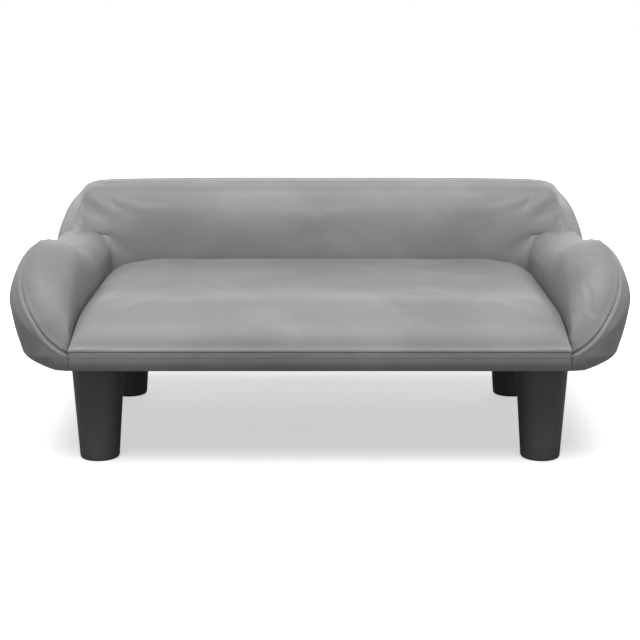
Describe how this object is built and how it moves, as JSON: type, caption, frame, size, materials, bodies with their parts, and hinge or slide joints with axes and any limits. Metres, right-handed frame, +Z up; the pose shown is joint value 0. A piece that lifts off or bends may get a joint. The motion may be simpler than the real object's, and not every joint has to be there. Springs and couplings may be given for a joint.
{
  "type": "dog sofa bed",
  "caption": "Small velvet dog sofa bed with a padded seat, two flared rolled arms, a high padded back and four tapered legs",
  "frame": {"origin": "on the floor under the middle of the bed", "axes": "+X to the bed's own right seen from the front, +Y to the back, +Z up"},
  "size_m": [0.7, 0.45, 0.277],
  "materials": {
    "velvet": "short pile grey velvet, matt with soft brushed marks",
    "foam": "open cell upholstery foam, matt",
    "timber": "planed unfinished softwood",
    "plywood": "unfinished plywood",
    "black_plastic": "moulded black plastic, satin",
    "zinc_steel": "zinc plated steel",
    "dust_cloth": "thin black nonwoven cloth"
  },
  "bodies": {
    "root": {"seat_front_rail": "timber", "seat_rear_rail": "timber", "seat_side_rails": "timber", "seat_centre_rail": "timber", "corner_braces": "plywood", "seat_deck": "plywood", "seat_foam": "foam", "seat_cover": "velvet", "front_band_cover": "velvet", "leg_front_left": "black_plastic", "leg_front_right": "black_plastic", "leg_rear_left": "black_plastic", "leg_rear_right": "black_plastic", "leg_studs": "zinc_steel", "tee_nuts": "zinc_steel", "arm_left_base_rail": "timber", "arm_right_base_rail": "timber", "arm_left_front_rib": "plywood", "arm_right_front_rib": "plywood", "arm_left_rear_rib": "plywood", "arm_right_rear_rib": "plywood", "arm_left_top_rail": "timber", "arm_right_top_rail": "timber", "arm_left_outer_board": "plywood", "arm_right_outer_board": "plywood", "arm_left_foam": "foam", "arm_right_foam": "foam", "arm_left_inner_cover": "velvet", "arm_right_inner_cover": "velvet", "arm_left_outer_cover": "velvet", "arm_right_outer_cover": "velvet", "arm_bolts": "zinc_steel", "back_board": "plywood", "back_ribs": "plywood", "back_top_rail": "timber", "back_foam": "foam", "back_front_cover": "velvet", "back_rear_cover": "velvet", "back_bolts": "zinc_steel", "frame_screws": "zinc_steel", "dust_cover": "dust_cloth"}
  },
  "joints": []
}
